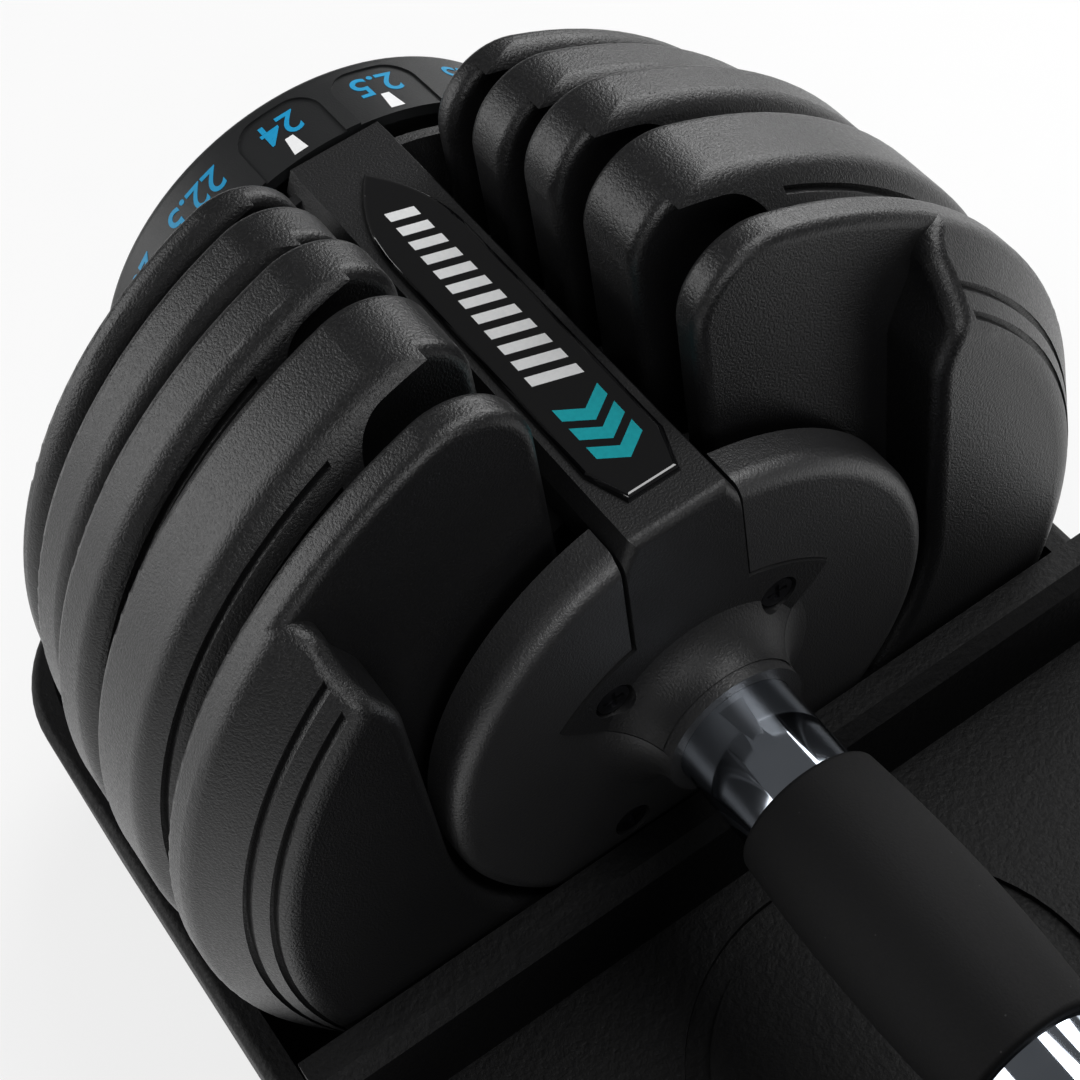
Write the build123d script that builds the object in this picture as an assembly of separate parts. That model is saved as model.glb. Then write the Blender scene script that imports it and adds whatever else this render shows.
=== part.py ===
from build123d import *
from math import radians, tan
import os

# Adjustable dumbbell standing in its tray. Millimetres, +Z up, +X along the handle.
# The origin is on the surface that the tray stands on, under the middle of the handle.
# Every piece is drawn for the +X end and turned half round for the other, which has the same pieces.
# "Station" is a distance from the middle along the handle.

# Clearances
SLIP = 0.05
REST_GAP = 0.3
SIDE_GAP = 0.7
PLATE_GAP = 1.0
TRAY_END_GAP = 2.5
CUT_MARGIN = 1.0

# Tray
TRAY_HALF_WIDTH = 105.0
TRAY_CORNER = 34.0
TRAY_WALL = 6.5
TRAY_END_WALL = 4.5
TRAY_RIM_ROUND = 2.5
FOOT_HEIGHT = 2.0
FOOT_RADIUS = 11.0
FOOT_STATION = 158.0
FOOT_SIDE = 72.0
FLOOR_THICKNESS = 4.0
RIM_BELOW_AXIS = 54.0
DECK_BELOW_AXIS = 60.0
LIP_BELOW_AXIS = 34.0
LIP_WIDTH = 9.0
LIP_CHAMFER = 3.0
DECK_SHELL = 3.0
RING_RADIUS = 44.0
RING_WIDTH = 5.0
RING_DEPTH = 1.5
POST_HALF_WIDTH = 10.0
POST_THICKNESS = 9.0

# Handle
AXIS_ABOVE_PLATE_CENTRE = 8.7
GRIP_HALF_LENGTH = 30.0
GRIP_RADIUS = 16.2
GRIP_END_RADIUS = 14.9
GRIP_END_ROUND = 1.2
TUBE_RADIUS = 12.6
TUBE_WALL = 2.5
ROD_RADIUS = 6.0
COLLAR_STATION = 51.0
COLLAR_RADIUS = 15.2
COLLAR_SEAT = 9.0

# Inner disc
DISC_STATION = 62.0
DISC_RADIUS = 54.6
DISC_THICKNESS = 9.5
DISC_ROUND = 4.0
TRUMPET_RADIUS = 25.0
TRUMPET_MIDDLE_RISE = 3.0
TRUMPET_MIDDLE_SETBACK = 3.5

# Bridge with its wing-shaped foot
BRIDGE_ABOVE_AXIS = 57.0
BRIDGE_TOP_HALF = 10.0
BRIDGE_BEVEL_HALF = 12.0
BRIDGE_BEVEL_DROP = 4.5
BRIDGE_BASE_HALF = 12.6
BRIDGE_UNDERSIDE = 44.0
BRIDGE_END_ROUND = 2.0
LEG_BOTTOM = 16.0
WING_HALF_SPAN = 30.0
WING_HEIGHT = 16.0
WING_ABOVE = 13.0
WING_BELOW = 14.0
WING_PROUD = 0.6
WING_DEPTH = 3.4

# Label plate on the bridge
LABEL_NEAR = 69.0
LABEL_FAR = 164.0
LABEL_SHOULDER = 9.0
LABEL_POINT = 24.0
LABEL_NEAR_HALF = 5.4
LABEL_HALF = 8.4
LABEL_THICKNESS = 1.5
LABEL_ROUND = 1.1

# Screws
SCREW_HEAD_RADIUS = 3.4
SCREW_HEAD_HEIGHT = 2.2
SCREW_SHANK_RADIUS = 1.9
SCREW_LENGTH = 5.5
SCREW_SINK = 2.6
CROSS_WIDTH = 1.0
CROSS_DEPTH = 1.2
UPPER_SCREW_SIDE = 18.5
UPPER_SCREW_HEIGHT = 15.8
LOWER_SCREW_SIDE = 19.0
LOWER_SCREW_HEIGHT = -30.0

# Plates from the inner one outwards: radius, whole thickness, web thickness
PLATE_RADII = (103.0, 103.0, 102.0, 98.5, 96.0)
PLATE_THICKNESSES = (22.0, 26.0, 18.0, 18.0, 12.5)
WEB_THICKNESSES = (7.5, 16.0, 11.0, 11.0, 5.5)
PLATE_UNITS = (6, 8, 2, 2, 1)
SLOT_HALF_WIDTH = 16.0
HORN_ROUND = 14.0
DISC_POCKET_GAP = 1.6
FLARE_START = 49.0
FLARE_END = 60.0
FLARE_WIDEN = 5.0
FLARE_ROUND = 14.0
SHOULDER_ROUND = 5.0
FACE_ROUND = 3.0
POCKET_RIM = 3.0
POCKET_ROUND = 12.0
WEB_ROUND = 2.5
BACK_ROUND = 2.0
BEVEL_WIDTH = 12.0
BEVEL_OUTER_ROUND = 5.0
BEVEL_INNER_ROUND = 6.0
FIRST_GROOVE_INSETS = (6.8, 10.0)
GROOVE_INSETS = (3.4, 7.0)
GROOVE_WIDTH = 1.2
GROOVE_DEPTH = 0.8
GROOVE_END_GAP = 4.0

# Selector that hooks the plates
SETTING_UNITS = (0, 1, 2, 3, 4, 5, 6, 7, 8, 9, 10, 12, 14, 16, 18, 19)
SELECTOR_RADIUS = 40.0
SELECTOR_POCKET_GAP = 2.0
FLANGE_THICKNESS = 3.0
FLANGE_LENGTH = 3.0
SELECTOR_WEB = 2.0
LUG_LENGTH = 2.8
LUG_HALF_WIDTH = 6.0
LUG_OUTER = 35.8
LUG_INNER = 30.0
SLEEVE_RADIUS = 13.0
SLEEVE_FLANGE_RADIUS = 21.0
SLEEVE_FLANGE_THICKNESS = 4.0

# Carrier, lock and dial at the outer end
CARRIER_GAP = 1.8
CARRIER_RADIUS = 55.0
CARRIER_THICKNESS = 2.5
LOCK_THICKNESS = 2.6
WHEEL_RADIUS = 20.0
NOTCH_DEPTH = 4.0
NOTCH_WIDTH = 4.2
TOOTH_WIDTH = 3.4
LOCK_TRAVEL = 4.0
LOCK_RAIL = 4.5
LOCK_BAR = 5.0
LOCK_FOOT_HALF = 6.0
LOCK_FOOT_DROP = 1.0
SPRING_RADIUS = 2.5
SPRING_WIRE = 0.6
SPRING_LENGTH = 8.0
RIB_WIDTH = 3.0
DIAL_GAP = 2.0
DIAL_RADIUS = 57.4
DIAL_TAPER = 1.0
DIAL_LENGTH = 20.0
DIAL_ROUND = 3.0
DIAL_WALL = 3.0
DIAL_WEB = 4.0
DIAL_WEB_STATION = 5.0
PANEL_LENGTH = 16.0
PANEL_WIDTH = 19.0
PANEL_ROUND = 6.0
PANEL_DEPTH = 0.5
LAST_SETTING_ANGLE = 5.5
CAP_RADIUS = 30.0
CAP_THICKNESS = 3.0
CAP_RISE = 1.6
CAP_LIP = 2.5
WASHER_RADIUS = 11.0
WASHER_THICKNESS = 1.5
NUT_ACROSS_FLATS = 19.0
NUT_THICKNESS = 6.0
DIAL_SCREW_CIRCLE_RADIUS = 16.0
DIAL_SCREW_HEAD_RADIUS = 2.8
DIAL_SCREW_HEAD_HEIGHT = 1.8
DIAL_SCREW_RADIUS = 1.5
DIAL_SCREW_LENGTH = 7.0
DIAL_SCREW_COUNT = 4

# Levels and stations that follow from the sizes above
PLATE_COUNT = len(PLATE_RADII)
SETTING_STEP = 360.0 / len(SETTING_UNITS)
WEDGE_SLOPE = tan(radians(SETTING_STEP / 2))
TRAY_FLOOR = FOOT_HEIGHT + FLOOR_THICKNESS
AXIS_Z = TRAY_FLOOR + REST_GAP + PLATE_RADII[0] + AXIS_ABOVE_PLATE_CENTRE
RIM_Z = AXIS_Z - RIM_BELOW_AXIS
DECK_Z = AXIS_Z - DECK_BELOW_AXIS
LIP_Z = AXIS_Z - LIP_BELOW_AXIS
DISC_BACK = DISC_STATION + DISC_THICKNESS
PLATE_FACES = [
    DISC_STATION + sum(PLATE_THICKNESSES[:index]) + index * PLATE_GAP
    for index in range(PLATE_COUNT)
]
PLATE_BACKS = [face + thickness for face, thickness in zip(PLATE_FACES, PLATE_THICKNESSES)]
SELECTOR_END = PLATE_BACKS[-1] + SIDE_GAP + FLANGE_LENGTH + SELECTOR_WEB
CARRIER_STATION = SELECTOR_END + CARRIER_GAP
CARRIER_BACK = CARRIER_STATION + CARRIER_THICKNESS
LOCK_START = CARRIER_BACK + REST_GAP
LOCK_END = LOCK_START + LOCK_THICKNESS
BRIDGE_END = LOCK_END
DIAL_START = BRIDGE_END + DIAL_GAP
DIAL_END = DIAL_START + DIAL_LENGTH
DIAL_OUTER_RADIUS = DIAL_RADIUS - DIAL_TAPER
TRAY_HALF_LENGTH = DIAL_END + CAP_RISE + TRAY_END_GAP + TRAY_END_WALL
DIAL_WEB_START = DIAL_START + DIAL_WEB_STATION
DIAL_WEB_END = DIAL_WEB_START + DIAL_WEB
WASHER_START = DIAL_WEB_END + REST_GAP
NUT_START = WASHER_START + WASHER_THICKNESS
ROD_END = NUT_START + NUT_THICKNESS
TUBE_END = COLLAR_STATION + COLLAR_SEAT
WELL_START = DISC_STATION - PLATE_GAP
TOOTH_BOTTOM = WHEEL_RADIUS + SIDE_GAP
WINDOW_TOP = WHEEL_RADIUS + LOCK_TRAVEL + SIDE_GAP
WINDOW_HALF = WHEEL_RADIUS + SIDE_GAP
LOCK_HALF = WINDOW_HALF + LOCK_RAIL
LOCK_TOP = WINDOW_TOP + LOCK_BAR
LOCK_FOOT = CARRIER_RADIUS + LOCK_FOOT_DROP
LEG_HALF = BRIDGE_BASE_HALF


def across(sketch, start, end):
    """Solid with this outline across the handle, from one station to another."""
    return extrude(Plane.YZ.offset(start) * sketch, amount=end - start)


def on_axis(sketch):
    """Outline moved so that its origin is on the handle's axis."""
    return Pos(0, AXIS_Z) * sketch


def ring(outer, inner, start, end):
    """Tube round the handle's axis."""
    return across(on_axis(Circle(outer) - Circle(inner)), start, end)


def turned(profile):
    """Solid of revolution round the handle's axis, from (station, radius) points."""
    outline = make_face(Polyline(*profile, close=True))
    return Pos(0, 0, AXIS_Z) * revolve(Plane.XZ * outline, Axis.X)


def upward_slot(half_width, top):
    """U-shaped outline round the axis, open upwards to the given level."""
    height = top - AXIS_Z
    return on_axis(Circle(half_width) + Pos(0, height / 2) * Rectangle(2 * half_width, height))


def edges_at(solid, station):
    """Edges that lie in the plane of one station."""
    return [edge for edge in solid.edges() if plane_edge(edge, station)]


def plane_edge(edge, station):
    box = edge.bounding_box()
    return abs(box.min.X - station) < 1e-4 and abs(box.max.X - station) < 1e-4


def tray_outline(inset):
    size = Vector(TRAY_HALF_LENGTH - inset, TRAY_HALF_WIDTH - inset)
    return RectangleRounded(2 * size.X, 2 * size.Y, TRAY_CORNER - inset)


def base_tray():
    """Tray with a well for the plates at each end and a raised deck under the grip."""
    body = extrude(Pos(0, 0, FOOT_HEIGHT) * tray_outline(0), amount=RIM_Z - FOOT_HEIGHT)
    rim_edges = body.faces().sort_by(Axis.Z)[-1].edges()
    body = fillet(rim_edges, TRAY_RIM_ROUND)
    lip_height = LIP_Z - RIM_Z
    lip_width = 2 * (TRAY_HALF_WIDTH - TRAY_WALL)
    for side in (1, -1):
        lip_centre = Pos(side * (WELL_START - LIP_WIDTH / 2), 0, RIM_Z + lip_height / 2)
        lip = lip_centre * Box(LIP_WIDTH, lip_width, lip_height)
        inner_edge = lip.edges().filter_by(Axis.Y).group_by(Axis.Z)[-1].sort_by(Axis.X)
        body += chamfer(inner_edge[0 if side > 0 else -1], LIP_CHAMFER)
    well_length = TRAY_HALF_LENGTH - TRAY_END_WALL - WELL_START
    well_corner = TRAY_CORNER - TRAY_WALL
    well_size = RectangleRounded(2 * well_length, lip_width, well_corner)
    well_half = well_size & Pos(well_length / 2, 0) * Rectangle(well_length, lip_width)
    for side in (1, -1):
        outline = well_half if side > 0 else mirror(well_half, about=Plane.YZ)
        well = extrude(Pos(side * WELL_START, 0, TRAY_FLOOR) * outline, amount=LIP_Z)
        body -= well
    deck_length = 2 * (WELL_START - LIP_WIDTH)
    deck_height = RIM_Z - DECK_Z + TRAY_RIM_ROUND
    body -= Pos(0, 0, DECK_Z + deck_height / 2) * Box(deck_length, lip_width, deck_height)
    groove = Circle(RING_RADIUS) - Circle(RING_RADIUS - RING_WIDTH)
    body -= extrude(Pos(0, 0, DECK_Z - RING_DEPTH) * groove, amount=RING_DEPTH + CUT_MARGIN)
    under_height = DECK_Z - RING_DEPTH - DECK_SHELL - FOOT_HEIGHT
    under_length = 2 * (WELL_START - DECK_SHELL)
    under_centre = Pos(0, 0, FOOT_HEIGHT + under_height / 2)
    body -= under_centre * Box(under_length, lip_width, under_height)
    post_top = AXIS_Z - LOCK_FOOT - REST_GAP
    post_height = post_top - TRAY_FLOOR
    for side in (1, -1):
        post_centre = side * (LOCK_END - POST_THICKNESS / 2)
        place = Pos(post_centre, 0, TRAY_FLOOR + post_height / 2)
        body += place * Box(POST_THICKNESS, 2 * POST_HALF_WIDTH, post_height)
    return body


def tray_feet():
    """Four round pads stuck under the tray."""
    pads = []
    for along in (FOOT_STATION, -FOOT_STATION):
        for side in (FOOT_SIDE, -FOOT_SIDE):
            pads.append(extrude(Pos(along, side) * Circle(FOOT_RADIUS), amount=FOOT_HEIGHT))
    return Compound(pads)


def handle_tube():
    return ring(TUBE_RADIUS, TUBE_RADIUS - TUBE_WALL, -TUBE_END, TUBE_END)


def axle_rod():
    return across(on_axis(Circle(ROD_RADIUS)), -ROD_END, ROD_END)


def grip_sleeve():
    """Barrel of rubber: one arc from end to end over the tube."""
    bore = TUBE_RADIUS + SLIP
    half = GRIP_HALF_LENGTH
    ends = ((-half, GRIP_END_RADIUS), (half, GRIP_END_RADIUS))
    barrel = ThreePointArc(ends[0], (0, GRIP_RADIUS), ends[1])
    rest = Polyline(ends[1], (half, bore), (-half, bore), ends[0])
    solid = Pos(0, 0, AXIS_Z) * revolve(Plane.XZ * make_face(barrel + rest), Axis.X)
    outer = [edge for edge in edges_at(solid, half) + edges_at(solid, -half)
             if edge.radius > bore + SLIP]
    return fillet(outer, GRIP_END_ROUND)


def wing_outline(gap):
    """Lens between two arcs that share their tips, across the inner disc."""
    span = WING_HALF_SPAN + gap
    tips = ((-span, WING_HEIGHT), (span, WING_HEIGHT))
    upper = ThreePointArc(tips[0], (0, WING_HEIGHT + WING_ABOVE + gap), tips[1])
    lower = ThreePointArc(tips[1], (0, WING_HEIGHT - WING_BELOW - gap), tips[0])
    return on_axis(make_face(upper + lower))


def leg_outline(gap):
    """Front of the bridge: narrow at the top and wider towards the wing."""
    top = BRIDGE_ABOVE_AXIS + gap
    bevel = BRIDGE_ABOVE_AXIS - BRIDGE_BEVEL_DROP
    points = (
        (-LEG_HALF - gap, LEG_BOTTOM),
        (LEG_HALF + gap, LEG_BOTTOM),
        (BRIDGE_BEVEL_HALF + gap, bevel),
        (BRIDGE_TOP_HALF + gap, top),
        (-BRIDGE_TOP_HALF - gap, top),
        (-BRIDGE_BEVEL_HALF - gap, bevel),
    )
    return on_axis(make_face(Polyline(*points, close=True)))


def bar_outline():
    """Section of the bar over the plates."""
    above = Pos(0, AXIS_Z + BRIDGE_UNDERSIDE + DISC_RADIUS)
    return leg_outline(0) & above * Rectangle(4 * LEG_HALF, 2 * DISC_RADIUS)


def screw_places():
    """Centres of the disc's screws and whether the wing or the disc carries the head."""
    upper = [(side * UPPER_SCREW_SIDE, UPPER_SCREW_HEIGHT) for side in (1, -1)]
    lower = [(side * LOWER_SCREW_SIDE, LOWER_SCREW_HEIGHT) for side in (1, -1)]
    return upper, lower


def wing_face():
    return DISC_STATION - WING_PROUD


def screw_bores(places, face):
    """Countersunk room for a row of screws below a face."""
    cuts = []
    for place in places:
        head = on_axis(Pos(*place) * Circle(SCREW_HEAD_RADIUS + SIDE_GAP))
        shank = on_axis(Pos(*place) * Circle(SCREW_SHANK_RADIUS + SLIP))
        cuts.append(across(head, COLLAR_STATION, face + SCREW_SINK))
        cuts.append(across(shank, face, face + SCREW_SINK + SCREW_LENGTH))
    return cuts


def disc_screws():
    """Cross-head screws that hold the wing and the inner disc."""
    upper, lower = screw_places()
    screws = []
    for places, face in ((upper, wing_face()), (lower, DISC_STATION)):
        seat = face + SCREW_SINK
        for place in places:
            spot = Pos(*place)
            head = across(on_axis(spot * Circle(SCREW_HEAD_RADIUS)), seat - SCREW_HEAD_HEIGHT, seat)
            shank = across(on_axis(spot * Circle(SCREW_SHANK_RADIUS)), seat, seat + SCREW_LENGTH)
            arm = 1.3 * SCREW_HEAD_RADIUS
            cross = Rectangle(arm, CROSS_WIDTH) + Rectangle(CROSS_WIDTH, arm)
            top = seat - SCREW_HEAD_HEIGHT
            screws.append(head + shank - across(on_axis(spot * cross), top, top + CROSS_DEPTH))
    return Compound(screws)


def trumpet_curve():
    """Hollow arc from the collar's end out to the disc's face."""
    return ThreePointArc(
        (COLLAR_STATION, COLLAR_RADIUS),
        (DISC_STATION - TRUMPET_MIDDLE_SETBACK, COLLAR_RADIUS + TRUMPET_MIDDLE_RISE),
        (DISC_STATION, TRUMPET_RADIUS),
    )


def trumpet():
    """Solid under the trumpet curve, whose upper part belongs to the bridge's foot."""
    rest = Polyline(
        (DISC_STATION, TRUMPET_RADIUS),
        (DISC_STATION, 0),
        (COLLAR_STATION, 0),
        (COLLAR_STATION, COLLAR_RADIUS),
    )
    return Pos(0, 0, AXIS_Z) * revolve(Plane.XZ * make_face(trumpet_curve() + rest), Axis.X)


def inner_disc():
    """Round disc with a flared collar for the tube and a notch for the bridge."""
    collar_inner = TUBE_RADIUS + SLIP
    rest = Polyline(
        (DISC_STATION, TRUMPET_RADIUS),
        (DISC_STATION, DISC_RADIUS),
        (DISC_BACK, DISC_RADIUS),
        (DISC_BACK, ROD_RADIUS + SLIP),
        (TUBE_END, ROD_RADIUS + SLIP),
        (TUBE_END, collar_inner),
        (COLLAR_STATION, collar_inner),
        (COLLAR_STATION, COLLAR_RADIUS),
    )
    disc = Pos(0, 0, AXIS_Z) * revolve(Plane.XZ * make_face(trumpet_curve() + rest), Axis.X)
    rim = max(edges_at(disc, DISC_STATION), key=lambda edge: edge.radius)
    disc = fillet(rim, DISC_ROUND)
    clear_top = Pos(0, AXIS_Z + BRIDGE_ABOVE_AXIS) * Rectangle(
        2 * (BRIDGE_TOP_HALF + SIDE_GAP), 2 * BRIDGE_BEVEL_DROP
    )
    disc -= across(leg_outline(SIDE_GAP) + clear_top, COLLAR_STATION, DISC_BACK + CUT_MARGIN)
    wing_floor = wing_face() + WING_DEPTH
    disc -= across(wing_outline(REST_GAP), COLLAR_STATION, wing_floor)
    upper, lower = screw_places()
    for cut in screw_bores(upper, wing_face()) + screw_bores(lower, DISC_STATION):
        disc -= cut
    return disc + collar_core()


def collar_core():
    """Flared collar kept whole where the wing's recess passes it."""
    inner = TUBE_RADIUS + SLIP
    outer = COLLAR_RADIUS
    return ring(outer, inner, COLLAR_STATION, TUBE_END) + ring(
        outer, ROD_RADIUS + SLIP, TUBE_END, DISC_BACK
    )


def bridge():
    """Bar over the plates, with a leg and a wing on the inner disc."""
    bar = across(bar_outline(), DISC_STATION, BRIDGE_END)
    leg = across(leg_outline(0), wing_face(), DISC_BACK)
    wing = across(wing_outline(0), wing_face(), wing_face() + WING_DEPTH)
    foot = across(wing_outline(0) + leg_outline(0), COLLAR_STATION, DISC_STATION)
    solid = bar + leg + wing + (trumpet() & foot)
    collar = on_axis(Circle(COLLAR_RADIUS + REST_GAP))
    solid -= across(collar, COLLAR_STATION, DISC_BACK + CUT_MARGIN)
    upper, _ = screw_places()
    for cut in screw_bores(upper, wing_face()):
        solid -= cut
    front = [edge for edge in edges_at(solid, wing_face())
             if edge.center().Z > AXIS_Z + BRIDGE_UNDERSIDE]
    return fillet(front, BRIDGE_END_ROUND)


def bridge_label():
    """Domed plate stuck on the bridge: blunt near the handle, pointed towards the dial."""
    shoulder = LABEL_NEAR + LABEL_SHOULDER
    straight_end = LABEL_FAR - LABEL_POINT
    tip = (LABEL_FAR, 0)
    sides = Polyline(
        (straight_end, -LABEL_HALF), (shoulder, -LABEL_HALF), (LABEL_NEAR, -LABEL_NEAR_HALF),
        (LABEL_NEAR, LABEL_NEAR_HALF), (shoulder, LABEL_HALF), (straight_end, LABEL_HALF),
    )
    left = TangentArc((straight_end, LABEL_HALF), tip, tangent=(1, 0))
    right = TangentArc((straight_end, -LABEL_HALF), tip, tangent=(1, 0))
    level = AXIS_Z + BRIDGE_ABOVE_AXIS
    solid = extrude(Pos(0, 0, level) * make_face(sides + left + right), amount=LABEL_THICKNESS)
    top = solid.faces().sort_by(Axis.Z)[-1].edges()
    return fillet(top, LABEL_ROUND)


def plate_centre(radius):
    """Level of a plate's centre when it rests on the tray's floor."""
    return TRAY_FLOOR + REST_GAP + radius


def web_level(index):
    """Station of the front of a plate's web."""
    return PLATE_BACKS[index] - WEB_THICKNESSES[index]


def plate_outline(radius):
    """Round plate with an upward slot and rounded horns beside it."""
    centre = plate_centre(radius)
    outline = Pos(0, centre) * Circle(radius) - upward_slot(SLOT_HALF_WIDTH, centre + 2 * radius)
    horns = outline.vertices().sort_by(Axis.Y)[-2:]
    return fillet(horns, HORN_ROUND)


def disc_pocket(top):
    """Upward pocket for the inner disc, flaring out to the rim."""
    half = DISC_RADIUS + DISC_POCKET_GAP
    start = AXIS_Z + FLARE_START
    end = AXIS_Z + FLARE_END
    flare = make_face(Polyline(
        (-half, start), (half, start), (half + FLARE_WIDEN, end),
        (half + FLARE_WIDEN, top), (-half - FLARE_WIDEN, top), (-half - FLARE_WIDEN, end),
        close=True,
    ))
    pocket = upward_slot(half, top) + flare
    levels = (start, end)
    bends = [bend for bend in pocket.vertices() if min(abs(bend.Y - z) for z in levels) < 0.01]
    return fillet(bends, FLARE_ROUND)


def selector_pocket(index):
    """Pocket for a selector disc, closed at the top by a low rim with round corners."""
    radius = PLATE_RADII[index]
    centre = plate_centre(radius)
    slot = upward_slot(SELECTOR_RADIUS + SELECTOR_POCKET_GAP, centre + 2 * radius)
    pocket = slot & Pos(0, centre) * Circle(radius - POCKET_RIM)
    corners = pocket.vertices().sort_by(Axis.Y)[-2:]
    return fillet(corners, POCKET_ROUND)


def shoulder_rim():
    """Thick part of the first plate: its shoulders beside the inner disc are rounded off."""
    radius = PLATE_RADII[0]
    thick = plate_outline(radius) - disc_pocket(plate_centre(radius) + 2 * radius)
    crests = thick.vertices().sort_by(Axis.Y)[-2:]
    thick = fillet(crests, SHOULDER_ROUND)
    back = PLATE_BACKS[0] - BACK_ROUND
    solid = bevelled_blank(0) & across(thick, PLATE_FACES[0], back)
    front = [edge for edge in solid.edges() if edge.bounding_box().max.X < back - CUT_MARGIN]
    mouth = [edge for edge in front if not turned_edge(edge)]
    return fillet(mouth, FACE_ROUND)


def turned_edge(edge):
    """Whether an edge runs round the plate, as the edges of its bevel do."""
    return edge.geom_type == GeomType.CIRCLE and edge.radius > DISC_RADIUS + DISC_POCKET_GAP + FLARE_WIDEN


def bevelled_blank(index):
    """Full disc of a plate's thick part, whose bevel runs back to the web's level."""
    radius = PLATE_RADII[index]
    face, back = PLATE_FACES[index], PLATE_BACKS[index] - BACK_ROUND
    bevel_corners = ((web_level(index), radius), (face, radius - BEVEL_WIDTH))
    profile = make_face(Polyline((face, 0), (back, 0), (back, radius), *bevel_corners, close=True))
    for corner, round_radius in zip(bevel_corners, (BEVEL_OUTER_ROUND, BEVEL_INNER_ROUND)):
        bend = profile.vertices().sort_by_distance((*corner, 0))[0]
        profile = fillet(bend, round_radius)
    return Pos(0, 0, plate_centre(radius)) * revolve(Plane.XZ * profile, Axis.X)


def bevelled_rim(index):
    """Thick part of the other plates: a bevelled crescent round the selector's pocket."""
    crescent = plate_outline(PLATE_RADII[index]) - selector_pocket(index)
    prism = across(crescent, PLATE_FACES[index], PLATE_BACKS[index] - BACK_ROUND)
    return bevelled_blank(index) & prism


def face_grooves(index):
    """Pairs of shallow grooves round a plate's front, stopping short of its pocket."""
    radius, face = PLATE_RADII[index], PLATE_FACES[index]
    slope = (web_level(index) - face) / BEVEL_WIDTH
    if index == 0:
        pocket_half = DISC_RADIUS + DISC_POCKET_GAP + FLARE_WIDEN
        insets = FIRST_GROOVE_INSETS
    else:
        pocket_half = SELECTOR_RADIUS + SELECTOR_POCKET_GAP
        insets = GROOVE_INSETS
    gap = Rectangle(2 * (pocket_half + GROOVE_END_GAP), 2 * radius)
    cuts = []
    for inset in insets:
        outer = radius - inset
        level = web_level(index) - inset * slope
        groove = Pos(0, plate_centre(radius)) * (Circle(outer) - Circle(outer - GROOVE_WIDTH))
        groove -= Pos(0, AXIS_Z + radius) * gap
        cuts.append(across(groove, face - CUT_MARGIN, level + GROOVE_DEPTH))
    return cuts


def plate(index):
    """One plate: a slotted web, a thick rim open upwards, and the lug that is hooked."""
    back = PLATE_BACKS[index]
    web = across(plate_outline(PLATE_RADII[index]), web_level(index), back)
    web = fillet(edges_at(web, web_level(index)), WEB_ROUND)
    web = fillet(edges_at(web, back), BACK_ROUND)
    solid = web + (shoulder_rim() if index == 0 else bevelled_rim(index))
    for groove in face_grooves(index):
        solid -= groove
    lug_middle = -(LUG_OUTER + LUG_INNER) / 2
    lug = on_axis(Pos(0, lug_middle) * Rectangle(2 * LUG_HALF_WIDTH, LUG_OUTER - LUG_INNER))
    return solid + across(lug, back, back + LUG_LENGTH)


def engaged(index):
    """For each dial setting, whether this plate is lifted: heaviest plates first."""
    order = sorted(range(PLATE_COUNT), key=lambda plate: -PLATE_UNITS[plate])
    hooked = []
    for units in SETTING_UNITS:
        left = units
        taken = set()
        for plate in order:
            if PLATE_UNITS[plate] <= left:
                left -= PLATE_UNITS[plate]
                taken.add(plate)
        hooked.append(index in taken)
    return hooked


def selector_disc(index):
    """Disc whose flange hooks under the plate's lug except where a setting leaves it."""
    start = PLATE_BACKS[index] + SIDE_GAP
    bend = start + FLANGE_LENGTH
    flange = Circle(SELECTOR_RADIUS) - Circle(SELECTOR_RADIUS - FLANGE_THICKNESS)
    reach = 2 * SELECTOR_RADIUS
    last = len(SETTING_UNITS) - 1
    for setting, hooked in enumerate(engaged(index)):
        if hooked:
            continue
        side = reach * WEDGE_SLOPE
        wedge = make_face(Polyline((0, 0), (reach, -side), (reach, side), close=True))
        flange -= Rot(0, 0, -90 + (setting - last) * SETTING_STEP) * wedge
    web = ring(SELECTOR_RADIUS, SLEEVE_RADIUS + SLIP, bend, bend + SELECTOR_WEB)
    return web + across(on_axis(flange), start, bend)


def selector_sleeve():
    """Hollow shaft on the axle rod, with a flange for the dial."""
    bore = ROD_RADIUS + SLIP
    start = DISC_BACK + REST_GAP
    flange_start = DIAL_WEB_START - SLEEVE_FLANGE_THICKNESS
    sleeve = ring(SLEEVE_RADIUS, bore, start, DIAL_WEB_START)
    sleeve += ring(SLEEVE_FLANGE_RADIUS, bore, flange_start, DIAL_WEB_START)
    for cut in dial_screw_bores():
        sleeve -= cut
    return sleeve


def dial_screw_circle():
    return PolarLocations(DIAL_SCREW_CIRCLE_RADIUS, DIAL_SCREW_COUNT, 45)


def dial_screw_bores():
    cuts = []
    end = DIAL_WEB_END - DIAL_SCREW_LENGTH
    for place in dial_screw_circle():
        bore = on_axis(place * Circle(DIAL_SCREW_RADIUS + SLIP))
        cuts.append(across(bore, end, DIAL_WEB_END))
    return cuts


def dial_screws():
    screws = []
    for place in dial_screw_circle():
        head = on_axis(place * Circle(DIAL_SCREW_HEAD_RADIUS))
        shank = on_axis(place * Circle(DIAL_SCREW_RADIUS))
        head_solid = across(head, DIAL_WEB_END, DIAL_WEB_END + DIAL_SCREW_HEAD_HEIGHT)
        screws.append(head_solid + across(shank, DIAL_WEB_END - DIAL_SCREW_LENGTH, DIAL_WEB_END))
    return Compound(screws)


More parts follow.
